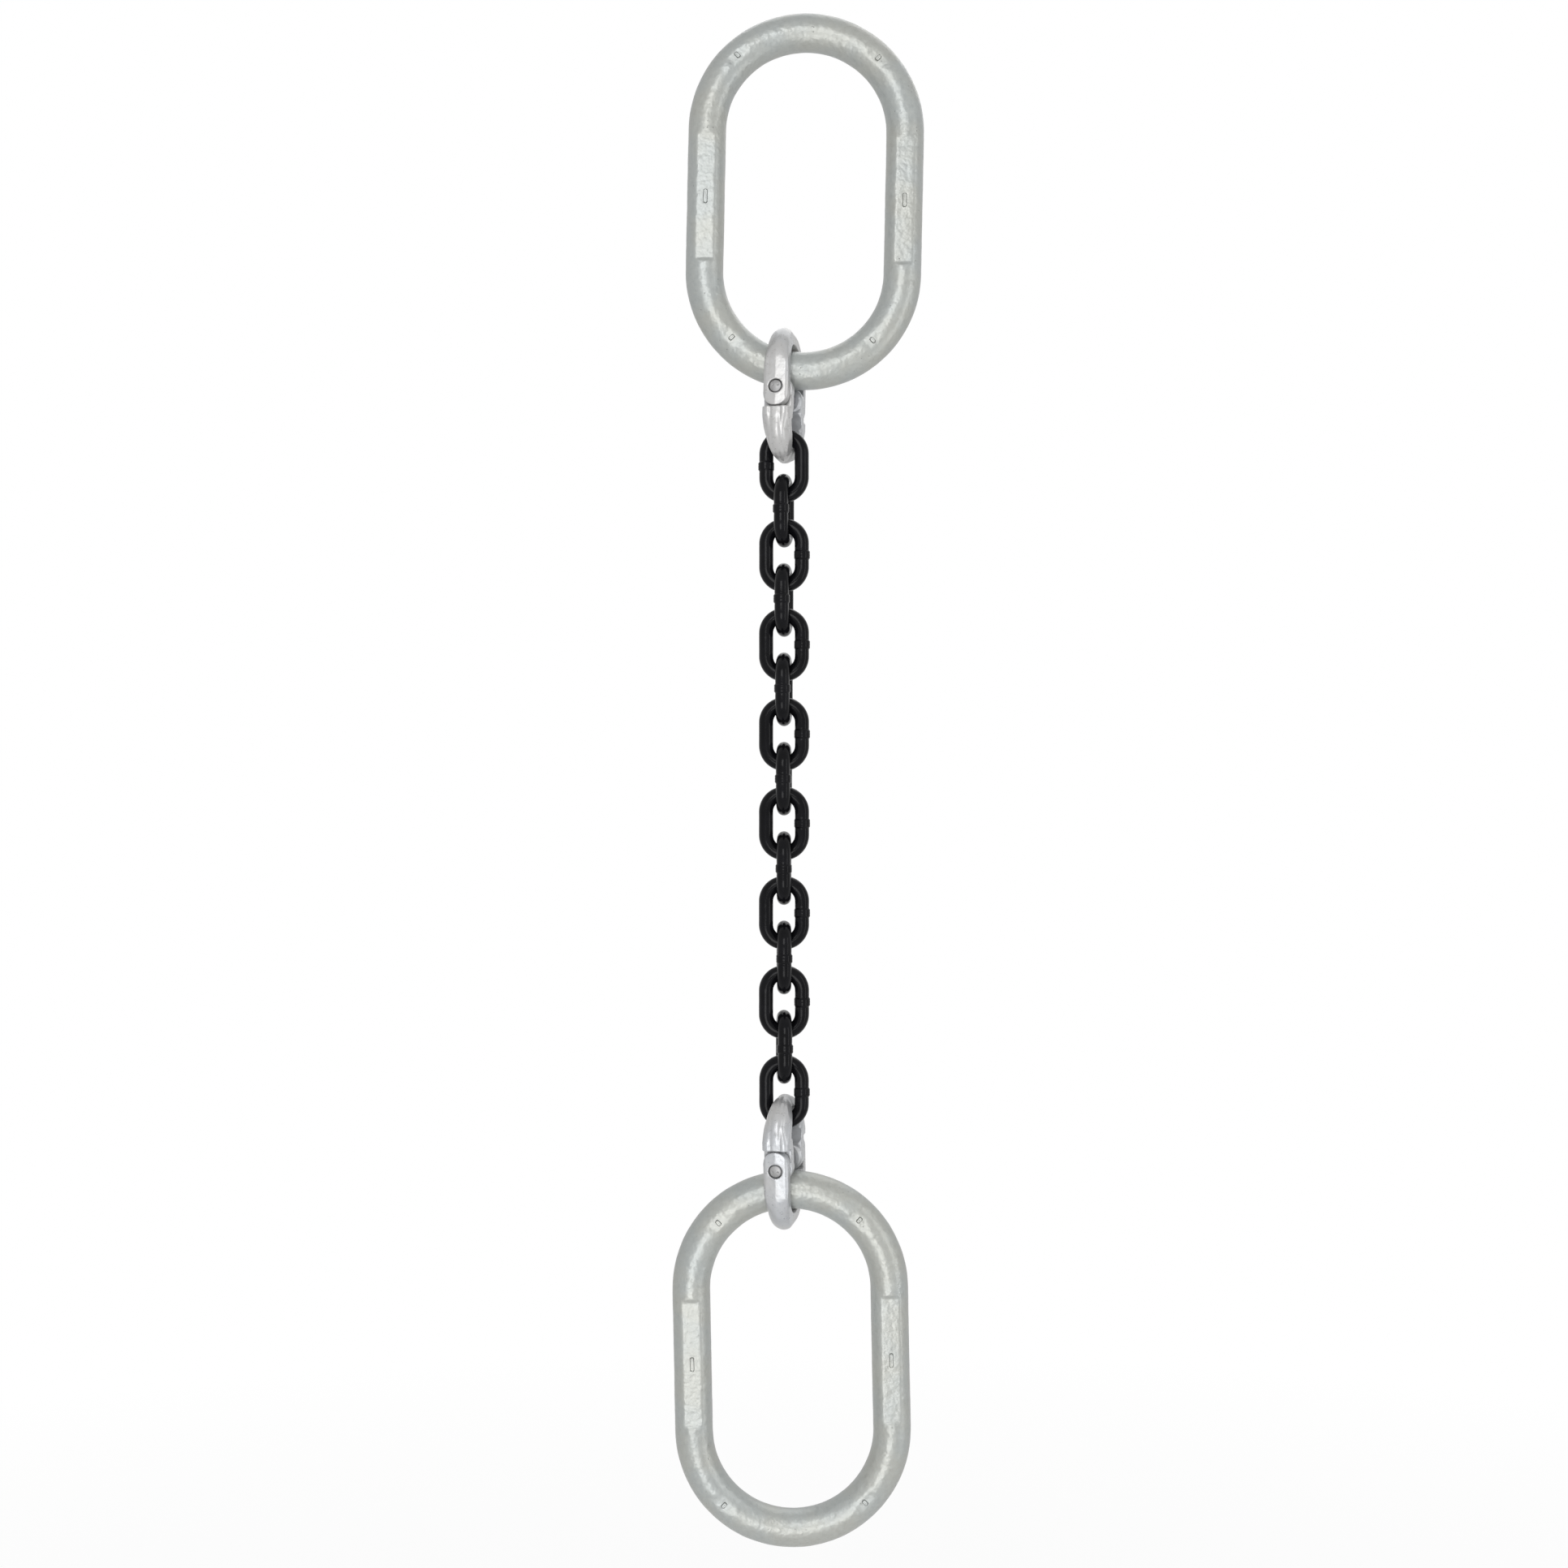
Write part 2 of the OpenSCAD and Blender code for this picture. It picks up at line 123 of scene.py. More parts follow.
class SLING_PG_coupling(bpy.types.PropertyGroup):
    """How the coupling halves are softened"""
    grain: length("Grain", "Size of the mesh's cells", 0.3 * MM, low=0.1 * MM)
    crown_drop: length("Crown centre", "From the pin to the centre of either crown", 13.9 * MM)
    crown_inside: length("Crown inside", "Radius of the crowns' inside", 11.7 * MM)
    crown_outside: length("Crown outside", "Radius of the crowns' outside", 20.9 * MM)
    crown_round: length("Crown round", "Radius of the crowns' backs across", 6.6 * MM, low=1 * MM)
    bow_slack: FloatProperty(name="Bow slack", description="Share by which the bow's crown is slimmer",
                             default=0.03, min=0.0, max=0.2)
    crown_smoothing: IntProperty(name="Crown smoothing", description="Times the crowns are smoothed",
                                 default=6, min=0, max=40)
    seat: length("Seat", "Radius of the bow's inside, where the chain bears", 10.5 * MM)
    seat_wear: length("Seat wear", "Depth that the crowns' insides are worn", 0.18 * MM)
    rounding: IntProperty(name="Rounding", description="Times the edges are smoothed", default=5,
                          min=0, max=40)
    waviness: length("Waviness", "How uneven the forged skin is", 0.05 * MM)
    tongue_round: length("Tongue end", "Radius of the outer half's round tongue ends", 6.45 * MM)
    tongue_drop: length("Tongue end's centre", "From the pin to a round end's centre", 3.25 * MM)
    neck_reach: length("Neck reach", "From the middle to the necks' faces", 13.2 * MM)
    # Width of the painted shade that darkens the inner halves round the tongues' ends.
    painted_shade_width: length("Grime width", "Width of the grime round the tongues", 1.3 * MM, low=0.1 * MM)


class SLING_PG_pin(bpy.types.PropertyGroup):
    """Sizes of the load pins"""
    radius: length("Radius", "Radius of the shank", 3.35 * MM)
    reach: length("Reach", "From the middle to the top of an end's dome", 20.7 * MM)
    face: length("Face", "Radius of the domed end inside its chamfer", 2.8 * MM)
    dome: length("Dome", "Height of the dome", 0.45 * MM)
    chamfer: length("Chamfer", "Depth of the chamfer round the end", 1.1 * MM)
    waist: length("Waist", "Radius of the waist under the sleeve", 2.45 * MM)
    waist_reach: length("Waist reach", "From the middle to the end of the waist", 7.35 * MM)
    punch: length("Punch", "Radius of the two punch marks on an end", 0.5 * MM)
    punch_depth: length("Punch depth", "Depth of the punch marks", 0.35 * MM)
    punch_apart: length("Punch place", "From the middle of the end to a punch mark", 1.35 * MM)


class SLING_PG_finish(bpy.types.PropertyGroup):
    """Colours of the finishes"""
    master_paint: colour("Master paint", "Grey-green silver paint of the links", (0.40, 0.415, 0.395))
    coupling_paint: colour("Coupling paint", "Lighter silver paint of the couplings", (0.48, 0.485, 0.49))
    chain_black: colour("Chain black", "Black paint of the chain", (0.004, 0.004, 0.005))
    pin_steel: colour("Pin steel", "Painted ends and shank of the pins", (0.33, 0.33, 0.33))
    sleeve_steel: colour("Sleeve steel", "Spring steel of the sleeves", (0.30, 0.30, 0.32))
    floor: colour("Floor", "Pale floor", (0.86, 0.86, 0.86))


class SLING_PG_stage(bpy.types.PropertyGroup):
    """Camera, floor and light"""
    distance: length("Camera distance", "From the camera to the sling", 1.15, low=0.1, high=10.0)
    view_width: length("View width", "Width seen at the sling", 0.7951, low=0.1, high=5.0)
    aim_x: length("Aim X", "Where the camera stands along X", -0.0121, low=-1.0)
    aim_z: length("Aim Z", "Height of the camera", -0.3712, low=-2.0)
    floor_drop: length("Floor drop", "Floor below the lower master link", 0.45)
    sky: FloatProperty(name="Sky", description="Plain light from all round", default=0.26, min=0.0, max=2.0)
    key: FloatProperty(name="Key lights", description="Power of each light beside the camera",
                       default=6.8, min=0.0)
    side: FloatProperty(name="Side light", description="Power of the tall light on the right",
                        default=3.0, min=0.0)
    back: FloatProperty(name="Back light", description="Power of the light behind", default=8.0,
                        min=0.0)


class Value:
    """A shader socket that takes part in arithmetic by adding Math nodes."""

    def __init__(self, nodes, socket):
        self.nodes = nodes
        self.socket = socket

    def math(self, operation, *others):
        values = dict(enumerate((self,) + others))
        return self.nodes.add("ShaderNodeMath", {"operation": operation}, values)

    def __add__(self, other):
        return self.math("ADD", other)

    __radd__ = __add__

    def __mul__(self, other):
        return self.math("MULTIPLY", other)

    __rmul__ = __mul__

    def __sub__(self, other):
        return self.math("SUBTRACT", other)

    def __rsub__(self, other):
        return self.nodes.add("ShaderNodeMath", {"operation": "SUBTRACT"}, {0: other, 1: self})

    def over(self, low, high):
        """0 below low, 1 above high and a straight ramp between."""
        return self.nodes.add("ShaderNodeMapRange", {"clamp": True},
                              {"Value": self, "From Min": low, "From Max": high})


class Nodes:
    """The shader nodes of a material or a world."""

    def __init__(self, owner):
        owner.use_nodes = True
        self.tree = owner.node_tree
        self.tree.nodes.clear()

    def add(self, kind, settings=None, inputs=None, out=0):
        """One of a node's outputs, once its settings and its inputs' values or links are set."""
        node = self.tree.nodes.new(kind)
        for name, value in (settings or {}).items():
            setattr(node, name, value)
        for name, value in (inputs or {}).items():
            if isinstance(value, Value):
                self.tree.links.new(value.socket, node.inputs[name])
            else:
                node.inputs[name].default_value = value
        return Value(self, node.outputs[out])

    def seen(self):
        """1 for what the camera sees, straight or in a reflection, and 0 for other light."""
        camera = self.add("ShaderNodeLightPath", out="Is Camera Ray")
        glossy = self.add("ShaderNodeLightPath", out="Is Glossy Ray")
        through = self.add("ShaderNodeLightPath", out="Is Transmission Ray")
        return camera.math("MAXIMUM", glossy).math("MAXIMUM", through)

    def end(self, kind, shader):
        """Leads the shader to the output node."""
        node = self.tree.nodes.new(kind)
        self.tree.links.new(shader.socket, node.inputs["Surface"])


class Finish(Nodes):
    """One procedural material."""

    def __init__(self, name):
        self.material = bpy.data.materials.new(name)
        super().__init__(self.material)

    def place(self):
        """Where a point lies on the sling."""
        return self.add("ShaderNodeTexCoord", out="Object")

    def stretched(self, scale):
        """The same place, stretched along each axis."""
        return self.add("ShaderNodeMapping", {}, {"Vector": self.place(), "Scale": scale})

    def noise(self, grain, detail=3.0, rough=0.55, vector=None, shift=0.0):
        """Cloudy pattern with features about grain metres across."""
        vector = vector or self.place()
        if shift:
            vector = self.add("ShaderNodeVectorMath", {"operation": "ADD"},
                              {0: vector, 1: (shift, shift, shift)})
        return self.add("ShaderNodeTexNoise", {"noise_dimensions": "3D"},
                        {"Vector": vector, "Scale": 1.0 / grain, "Detail": detail, "Roughness": rough})

    def spots(self, spacing):
        """Distance from the nearest of many scattered points, in cells."""
        return self.add("ShaderNodeTexVoronoi", {"feature": "F1"},
                        {"Vector": self.place(), "Scale": 1.0 / spacing}, out="Distance")

    def blend(self, factor, a, b):
        """Colour a where factor is 0 and b where it is 1."""
        return self.add("ShaderNodeMix", {"data_type": "RGBA"},
                        {0: factor, 6: opaque(a), 7: opaque(b)}, out=2)

    def bump(self, height, distance, strength, under=None):
        """Unevenness in the material alone, on top of another bump if one is given."""
        inputs = {"Height": height, "Distance": distance, "Strength": strength}
        if under:
            inputs["Normal"] = under
        return self.add("ShaderNodeBump", {}, inputs)

    def surface(self, **inputs):
        """The finished material, from the inputs of its one shader."""
        names = {key.replace("_", " ").title().replace("Ior", "IOR"): value
                 for key, value in inputs.items()}
        self.end("ShaderNodeOutputMaterial", self.add("ShaderNodeBsdfPrincipled", {}, names))
        return self.material


def opaque(shade):
    """A plain colour with its alpha; a socket stays as it is."""
    return shade if isinstance(shade, Value) else (*shade, 1.0)


def scaled(shade, k):
    """A lighter or darker colour."""
    return tuple(min(1.0, c * k) for c in shade)


def forged_paint(name, shade, coarse, gloss, wear, lumpy):
    """Silver paint over a forging's scaly skin, whose lumps are about coarse metres across."""
    f = Finish(name)
    broad = f.noise(26 * MM, detail=2.0)
    skin = f.noise(coarse, detail=5.0, rough=0.62)
    fine = f.noise(coarse * 0.28, detail=4.0, rough=0.6, shift=0.37)
    grit = f.noise(0.35 * MM, detail=2.0, shift=0.11)
    dots = 1.0 - f.spots(spacing=2.6 * MM).over(0.05, 0.13)
    pit = dots * f.noise(9 * MM, detail=1.0, shift=0.73).over(0.56, 0.64)
    cool = (shade[0] * 0.97, shade[1] * 0.99, shade[2] * 1.02)
    warm = (shade[0] * 1.02, shade[1], shade[2] * 0.975)
    base = f.blend(broad.over(0.4, 0.6), cool, warm)
    base = f.blend(skin.over(0.4, 0.66) * 0.4, base, scaled(shade, 1.15))
    base = f.blend((1.0 - skin.over(0.28, 0.44)) * 0.35, base, scaled(shade, 0.8))
    base = f.blend(fine.over(0.56, 0.74) * wear, base, scaled(shade, 1.3))
    base = f.blend(pit * 0.7, base, scaled(shade, 0.35))
    # Painted shade: the paint darkens where the mesh marks it, at the dashes' feet and round the tongues' ends.
    painted_shade = f.add("ShaderNodeAttribute", {"attribute_type": "GEOMETRY", "attribute_name": "painted_shade"},
                  out="Fac")
    base = f.blend(painted_shade * 0.7, base, scaled(shade, 0.3))
    rough = gloss + 0.25 * (skin - 0.5) + 0.12 * (fine - 0.5) + 0.15 * pit
    hammered = f.noise(coarse, detail=0.8, rough=0.4, shift=0.57)
    scaly = f.noise(coarse * 0.45, detail=0.5, rough=0.4, shift=0.83)
    lumps = f.bump(hammered * 0.8 + scaly * 0.25 - pit * 0.4, distance=0.45 * MM, strength=lumpy)
    normal = f.bump(grit, distance=0.012 * MM, strength=0.5, under=lumps)
    return f.surface(base_color=base, roughness=rough, metallic=0.26, normal=normal,
                     specular_ior_level=0.6)


def black_paint(name, shade):
    """Satin black paint over drawn wire."""
    f = Finish(name)
    skin = f.noise(2.4 * MM, detail=4.0, rough=0.6)
    fine = f.noise(0.5 * MM, detail=3.0, shift=0.21)
    dust = f.noise(7 * MM, detail=3.0, shift=0.53)
    scuff = f.noise(1.1 * MM, detail=5.0, rough=0.7, shift=0.87).over(0.62, 0.74)
    rubbed = (0.03, 0.029, 0.028)
    base = f.blend(dust.over(0.4, 0.66), shade, scaled(shade, 1.7))
    base = f.blend(scuff * 0.3, base, rubbed)
    rough = 0.16 + 0.1 * (skin - 0.5) + 0.04 * (fine - 0.5) + 0.12 * scuff
    normal = f.bump(skin * 0.8 + fine * 0.1, distance=0.06 * MM, strength=0.5)
    return f.surface(base_color=base, roughness=rough, normal=normal, specular_ior_level=0.1)


def worn_steel(name, shade, gloss):
    """Bare or thinly painted steel with turning marks round Y."""
    f = Finish(name)
    skin = f.noise(1.4 * MM, detail=4.0)
    rings = f.noise(0.5 * MM, detail=2.0, vector=f.stretched((0.15, 3.0, 0.15)), shift=0.4)
    stain = f.noise(3.5 * MM, detail=3.0, shift=0.61)
    base = f.blend(stain.over(0.42, 0.64) * 0.7, shade, scaled(shade, 0.72))
    base = f.blend(rings.over(0.5, 0.75) * 0.3, base, scaled(shade, 1.35))
    rough = gloss + 0.2 * (skin - 0.5) + 0.1 * (rings - 0.5)
    normal = f.bump(skin * 0.5 + rings * 0.5, distance=0.07 * MM, strength=0.6)
    return f.surface(base_color=base, roughness=rough, metallic=0.4, normal=normal)


def pale_floor(name, shade):
    """Pale matt floor that reads as white where the camera or a reflection sees it."""
    f = Finish(name)
    cloud = f.noise(90 * MM, detail=2.0)
    speck = f.noise(1.5 * MM, detail=2.0, shift=0.3)
    base = f.blend(cloud * 0.4, shade, scaled(shade, 1.02))
    rough = 0.85 + 0.08 * (speck - 0.5)
    shader = f.add("ShaderNodeBsdfPrincipled", {}, {"Base Color": base, "Roughness": rough,
                                                    "Specular IOR Level": 0.15})
    glow = f.add("ShaderNodeEmission", {}, {"Color": (1.0, 1.0, 1.0, 1.0), "Strength": 1.0})
    far = f.add("ShaderNodeVectorMath", {"operation": "LENGTH"}, {0: f.stretched((1, 1, 0))}, out=1)
    factor = f.seen() * (0.92 + 0.08 * far.over(0.8, 2.2))
    f.end("ShaderNodeOutputMaterial", f.add("ShaderNodeMixShader", {}, {0: factor, 1: shader, 2: glow}))
    return f.material


def new_object(name, data):
    """An object in the scene that shows some data."""
    made = bpy.data.objects.new(name, data)
    bpy.context.scene.collection.objects.link(made)
    return made


def mesh_object(name, bm):
    """An object in the scene with bm's mesh, which also frees bm."""
    mesh = bpy.data.meshes.new(name)
    bm.to_mesh(mesh)
    bm.free()
    return new_object(name, mesh)


def new_piece(name, bm, material, body, node):
    """A mesh object from bm, riding on body, in place of a CAD node."""
    piece = mesh_object(name, bm)
    piece.data.polygons.foreach_set("use_smooth", [True] * len(piece.data.polygons))
    piece.data.materials.append(material)
    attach(piece, body)
    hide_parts(node)


def dress(node, material):
    """Gives a CAD node that stays its finish."""
    mesh = frame["nodes"][node].data
    mesh.materials.clear()
    mesh.materials.append(material)


def ring_sweep(bm, crown_r, straight, bar_r, around, crown_steps, leg_steps):
    """A closed oblong ring in the XZ plane about the origin, swept from one round section."""
    made = bmesh.ops.create_circle(bm, segments=around, radius=bar_r,
                                   matrix=Matrix.Translation((crown_r, 0, straight / 2)))
    edges = list({e for v in made["verts"] for e in v.link_edges})
    for z in (straight / 2, -straight / 2):
        swept = bmesh.ops.spin(bm, geom=edges, cent=(0, 0, z), axis=(0, 1, 0), angle=-math.pi,
                               steps=crown_steps, use_duplicate=False)
        edges = [g for g in swept["geom_last"] if isinstance(g, bmesh.types.BMEdge)]
        along = -math.copysign(straight / leg_steps, z)
        swept = bmesh.ops.spin(bm, geom=edges, cent=(0, 0, 0), axis=(0, 1, 0), dvec=(0, 0, along),
                               angle=0, steps=leg_steps, use_duplicate=False)
        edges = [g for g in swept["geom_last"] if isinstance(g, bmesh.types.BMEdge)]
    bmesh.ops.remove_doubles(bm, verts=bm.verts, dist=0.02 * MM)
    bmesh.ops.recalc_face_normals(bm, faces=bm.faces)


def clamped(share):
    """A share kept between 0 and 1."""
    return min(1.0, max(0.0, share))


def soft_min(a, b, k):
    """The smaller of two lengths, rounded over where they are within k of each other."""
    h = max(k - abs(a - b), 0.0) / k
    return min(a, b) - h * h * k / 4


def eased(distance, inside, soft):
    """1 well inside a half-length, 0 outside it, with a soft step."""
    t = clamped((inside - abs(distance)) / soft + 0.5)
    return t * t * (3 - 2 * t)


def ridge(distance, width):
    """1 on a crest and falling off softly to both sides of it."""
    return math.exp(-(distance / width) ** 2)


def ruffle(bm, grain, height, seed):
    """Moves every vertex in or out a little, as a forged or drawn skin is uneven."""
    bm.normal_update()
    moves = []
    for v in bm.verts:
        p = v.co / grain + Vector((seed, seed * 1.7, -seed))
        push = noise.noise(p) + 0.45 * noise.noise(p * 2.3)
        moves.append(v.normal * push * height)
    for v, move in zip(bm.verts, moves):
        v.co += move


def raised_bar(bm, place, long, wide, rise, painted_shade):
    """A plain bar with rounded ends and sloping sides on a pad, with painted shade round its foot."""
    sunk = 0.3 * rise
    slope = 0.2 * wide
    corner = 0.28 * wide
    box = Matrix.Translation((0, (sunk - rise) / 2, 0)) @ Matrix.Diagonal((wide, rise + sunk, long, 1.0))
    made = bmesh.ops.create_cube(bm, size=1.0, matrix=box)
    for v in made["verts"]:
        if v.co.y < 0:
            v.co.x -= math.copysign(slope, v.co.x)
            v.co.z -= math.copysign(slope, v.co.z)
    standing = [e for e in {e for v in made["verts"] for e in v.link_edges}
                if abs(e.verts[0].co.y - e.verts[1].co.y) > rise]
    rounded = bmesh.ops.bevel(bm, geom=standing, offset=corner, segments=3, profile=0.5,
                              affect="EDGES", material=-1)
    corners = {v for face in rounded["faces"] for v in face.verts}
    # Painted shade: the foot of the bar is marked so that the paint darkens there.
    for v in corners:
        v[painted_shade] = 1.0 if v.co.y > -rise / 2 else 0.0
    for edge in {e for v in corners for e in v.link_edges}:
        if max(v.co.y for v in edge.verts) < -rise / 2:
            edge.smooth = False
    bmesh.ops.transform(bm, matrix=place, verts=list(corners))


def master_link_mesh(p, seed):
    """One master link with its hook seat at the origin, hanging down."""
    bar_r = p.bar / 2
    crown_r = (p.opening_width + p.bar) / 2
    straight = p.opening_length - p.opening_width
    pad_angle = math.pi / 4
    pad_width = 2 * math.sqrt(bar_r ** 2 - (bar_r - p.pad_depth) ** 2)
    bm = bmesh.new()
    ring_sweep(bm, crown_r, straight, bar_r, around=72, crown_steps=120, leg_steps=84)
    ruffle(bm, grain=11 * MM, height=p.waviness * 0.6, seed=seed)
    edge = 0.35 * MM
    for v in bm.verts:
        x, y, z = v.co
        beyond = max(abs(z) - straight / 2, 0.0)
        pressed = p.flat_depth * eased(z, p.flat_length / 2, soft=0.9 * MM)
        if y < 0 and beyond:
            along = (math.atan2(beyond, abs(x)) - pad_angle) * crown_r
            pressed = max(pressed, p.pad_depth * eased(along, p.pad_length / 2, soft=1.0 * MM))
        if pressed:
            v.co.y = math.copysign(soft_min(abs(y), bar_r - pressed, edge), y)
    ruffle(bm, grain=2.6 * MM, height=p.waviness * 0.22, seed=seed + 5)
    # A layer that marks painted shade round the feet of the dashes and ticks.
    painted_shade = bm.verts.layers.float.new("painted_shade")
    for side in (-1, 1):
        face = Matrix.Translation((side * crown_r, -(bar_r - p.flat_depth), 0))
        raised_bar(bm, face, p.dash_length, p.dash_width, p.dash_rise, painted_shade)
        for top in (-1, 1):
            pad = (Matrix.Translation((0, 0, top * straight / 2))
                   @ Matrix.Rotation(-top * side * pad_angle, 4, "Y")
                   @ Matrix.Translation((side * crown_r, -(bar_r - p.pad_depth), 0))
                   @ Matrix.Rotation(math.pi / 2, 4, "Y"))
            raised_bar(bm, pad, 0.6 * pad_width, p.dash_width, p.dash_rise, painted_shade)
    bmesh.ops.translate(bm, verts=bm.verts, vec=(0, 0, -p.opening_length / 2))
    return bm


def hinge(key, value):
    """The frame's joint with this name or this child."""
    return next(joint for joint in frame["joints"] if joint[key] == value)


def link_place(number):
    """Where a chain link hangs, with its opening in XZ, and the side of its weld."""
    joint = hinge("child", f"link_{number:02d}")
    low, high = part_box(f"chain_link_{number:02d}")
    square = Vector(joint["axis"])
    face_on = number % 2 == 1
    if (face_on and square.y < 0) or (not face_on and square.x > 0):
        square.negate()
    up = Vector((0, 0, 1))
    turn = Matrix((square.cross(up), square, up)).transposed().to_4x4()
    place = Matrix.Translation((joint["pos_m"][0], joint["pos_m"][1], (low.z + high.z) / 2))
    side = 1 if face_on and number > 1 else -1
    return place @ turn, side


def chain_link_mesh(p, side, seed):
    """One chain link about the origin, with its weld bead on the leg at side * X."""
    wire_r = p.wire / 2
    crown_r = (p.link_width + p.wire) / 2
    straight = p.link_length - p.link_width
    bm = bmesh.new()
    ring_sweep(bm, crown_r, straight, wire_r, around=40, crown_steps=36, leg_steps=56)
    ruffle(bm, grain=3.2 * MM, height=p.waviness, seed=seed)
    swell = (p.weld - p.wire) / 2
    half = p.weld_length / 2
    wander = 0.12 * MM
    grain = 0.9 * MM
    for v in bm.verts:
        if v.co.x * side < 0 or abs(v.co.z) > half * 2.2:
            continue
        out = Vector((v.co.x - side * crown_r, v.co.y, 0))
        angle = math.atan2(out.y, out.x)
        z = v.co.z + wander * math.sin(angle * 2 + seed)
        bulge = eased(z, half * 0.98, soft=1.1 * MM)
        lips = ridge(abs(z) - half * 0.78, 0.28 * MM)
        seam = ridge(z, 0.3 * MM)
        neck = ridge(abs(z) - half * 1.35, 0.35 * MM)
        rough = noise.noise(v.co / grain + Vector((seed, 0, 0))) * eased(z, half, soft=0.5 * MM)
        grow = swell * (0.82 * bulge + 0.1 * lips + 0.08 * seam - 0.08 * neck + 0.04 * rough)
        if out.x * side < 0:
            grow *= p.weld_inside
        v.co += out.normalized() * grow
    return bm


def coupling_place(end):
    """The coupling's own frame: origin on its pin, Y along the pin, Z towards the master link."""
    joint = hinge("name", PIN_JOINTS[end])
    along = Vector(joint["axis"])
    if along.y < 0:
        along.negate()
    across = along.cross(Vector((0, 0, 1))).normalized()
    up = across.cross(along) * (1 if end == "upper" else -1)
    turn = Matrix((across, along, up)).transposed().to_4x4()
    return Matrix.Translation(joint["pos_m"]) @ turn


def round_crown(bm, p, place, side):
    """Rounds the back of the crown at side * Z across and wears its inside."""
    to_coupling = place.inverted()
    fade = 9 * MM
    worn = 3 * MM
    widest = 0.94 * p.crown_round
    moved = []
    for v in bm.verts:
        here = to_coupling @ v.co
        rise = side * here.z - p.crown_drop
        share = clamped(rise / fade)
        if not share:
            continue
        reach = math.hypot(here.y, rise)
        depth = clamped((reach - p.crown_inside) / (p.crown_outside - p.crown_inside))
        x = min(abs(here.x), widest)
        drop = (p.crown_round - math.sqrt(p.crown_round ** 2 - x ** 2)) * share * depth
        drop -= p.seat_wear * share * clamped(1 - (reach - p.seat) / worn)
        if side < 0:
            here.x *= 1 - p.bow_slack * share
        here.y *= (reach - drop) / reach
        here.z = side * (p.crown_drop + rise * (reach - drop) / reach)
        v.co = place @ here
        moved.append(v)
    for _ in range(p.crown_smoothing):
        bmesh.ops.smooth_vert(bm, verts=moved, factor=0.5, use_axis_x=True, use_axis_y=True,
                              use_axis_z=True)


def painted_tongue_shade(bm, p, place):
    """Marks painted shade on an inner half, round the ends of the tongues on it."""
    painted_shade = bm.verts.layers.float.new("painted_shade")
    to_coupling = place.inverted()
    for v in bm.verts:
        here = to_coupling @ v.co
        below = here.z + p.tongue_drop
        if abs(here.y) < p.neck_reach or below > 0:
            continue
        away = abs(math.hypot(here.x, below) - p.tongue_round) / p.painted_shade_width
        v[painted_shade] = max(0.0, 1.0 - away)


def softened_copy(node, p, seed):
    """A CAD node's shape with the soft edges and uneven skin of a forging."""
    bm = bmesh.new()
    bm.from_mesh(frame["nodes"][node].data)
    bmesh.ops.remove_doubles(bm, verts=bm.verts, dist=0.001 * MM)
    raw = mesh_object(node + "_raw", bm)
    cells = raw.modifiers.new("cells", "REMESH")
    cells.mode = "VOXEL"
    cells.voxel_size = p.grain
    rounded = raw.modifiers.new("rounded", "SMOOTH")
    rounded.factor = 0.5
    rounded.iterations = p.rounding
    made = raw.evaluated_get(bpy.context.evaluated_depsgraph_get())
    bm = bmesh.new()
    bm.from_mesh(made.to_mesh())
    made.to_mesh_clear()
    mesh = raw.data
    bpy.data.objects.remove(raw)
    bpy.data.meshes.remove(mesh)
    ruffle(bm, grain=3.5 * MM, height=p.waviness, seed=seed)
    return bm


def pin_mesh(p):
    """A load pin along Y about the origin, turned from one profile, with punched ends."""
    rings = 20
    punch_lift = 0.2 * p.punch_apart
    profile = [(0.0, p.reach)]
    for i in range(1, rings + 1):
        r = p.face * i / rings
        profile.append((r, p.reach - p.dome * (r / p.face) ** 2))
    profile.append((p.radius, p.reach - p.dome - p.chamfer))
    profile.append((p.radius, p.waist_reach))
    profile.append((p.waist, p.waist_reach))
    profile += [(r, -y) for r, y in reversed(profile)]
    bm = bmesh.new()
    line = [bm.verts.new((r, y, 0)) for r, y in profile]
    edges = [bm.edges.new(pair) for pair in zip(line, line[1:])]
    bmesh.ops.spin(bm, geom=line + edges, cent=(0, 0, 0), axis=(0, 1, 0), angle=2 * math.pi,
                   steps=64, use_merge=True)
    bmesh.ops.remove_doubles(bm, verts=bm.verts, dist=0.005 * MM)
    for v in bm.verts:
        if abs(v.co.y) < p.reach - p.dome - p.chamfer / 2:
            continue
        for side in (-1, 1):
            away = math.hypot(v.co.x - side * p.punch_apart, v.co.z - punch_lift) / p.punch
            if away < 1:
                v.co.y -= math.copysign(p.punch_depth * (1 - away * away), v.co.y)
    return bm


class SLING_OT_master_links(bpy.types.Operator):
    """Forges both master links"""
    bl_idname = "sling.master_links"
    bl_label = "Master links"

    def execute(self, context):
        p = context.scene.sling_master
        paint = forged_paint("forged silver paint", tuple(context.scene.sling_finish.master_paint),
                             coarse=2.8 * MM, gloss=0.38, wear=0.3, lumpy=0.8)
        lean = Matrix.Rotation(p.lean, 4, "Y")
        seat = next(m for m in frame["record"]["mounts"] if m["name"] == "load_seat")["pos_m"]
        places = {"upper": lean,
                  "lower": Matrix.Translation(seat) @ Matrix.Diagonal((1, 1, -1, 1)) @ lean}
        for index, end in enumerate(ENDS):
            bm = master_link_mesh(p, seed=3.1 + 11 * index)
            bmesh.ops.transform(bm, matrix=places[end], verts=bm.verts)
            bmesh.ops.recalc_face_normals(bm, faces=bm.faces)
            new_piece(f"{end}_master_forging", bm, paint, f"{end}_master",
                      f"{end}_master_link")
        return {"FINISHED"}


